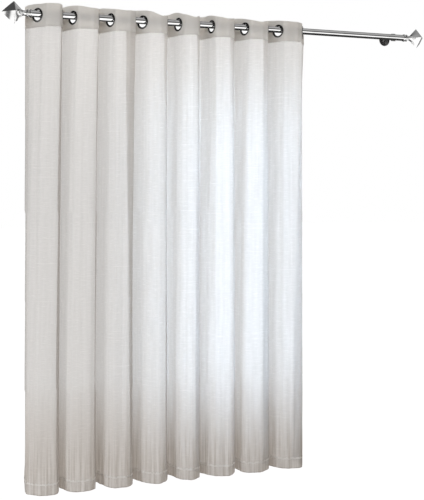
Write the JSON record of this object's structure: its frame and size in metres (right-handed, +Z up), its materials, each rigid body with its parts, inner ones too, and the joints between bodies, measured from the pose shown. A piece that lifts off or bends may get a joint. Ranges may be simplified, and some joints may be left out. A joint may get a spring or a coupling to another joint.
{
  "type": "sheer eyelet curtain on a rod",
  "caption": "Sheer voile curtain panel with a stiff eyelet heading, hanging in soft folds on a straight metal rod with pyramid finials and wall brackets.",
  "frame": {"origin": "middle of the right wall plate's back face, level with the rod's axis", "axes": "+X along the rod to the right as seen from the room, +Y towards the wall, +Z up"},
  "size_m": [2.105, 0.1466, 2.1405],
  "materials": {
    "voile": "sheer ivory voile with fine level slubs",
    "heading_cloth": "stiffened double voile, opaque, stitched",
    "eyelet_metal": "polished nickel",
    "rod_metal": "polished nickel with a fine drawn grain",
    "bracket_metal": "polished nickel"
  },
  "bodies": {
    "root": {"panel": "voile", "heading": "heading_cloth", "eyelet_01": "eyelet_metal", "eyelet_02": "eyelet_metal", "eyelet_03": "eyelet_metal", "eyelet_04": "eyelet_metal", "eyelet_05": "eyelet_metal", "eyelet_06": "eyelet_metal", "eyelet_07": "eyelet_metal", "eyelet_08": "eyelet_metal", "eyelet_09": "eyelet_metal", "eyelet_10": "eyelet_metal", "eyelet_11": "eyelet_metal", "eyelet_12": "eyelet_metal", "eyelet_13": "eyelet_metal", "eyelet_14": "eyelet_metal", "eyelet_15": "eyelet_metal", "eyelet_16": "eyelet_metal", "rod": "rod_metal", "finial_left": "rod_metal", "finial_right": "rod_metal", "bracket_left": "bracket_metal", "bracket_right": "bracket_metal"}
  },
  "joints": []
}
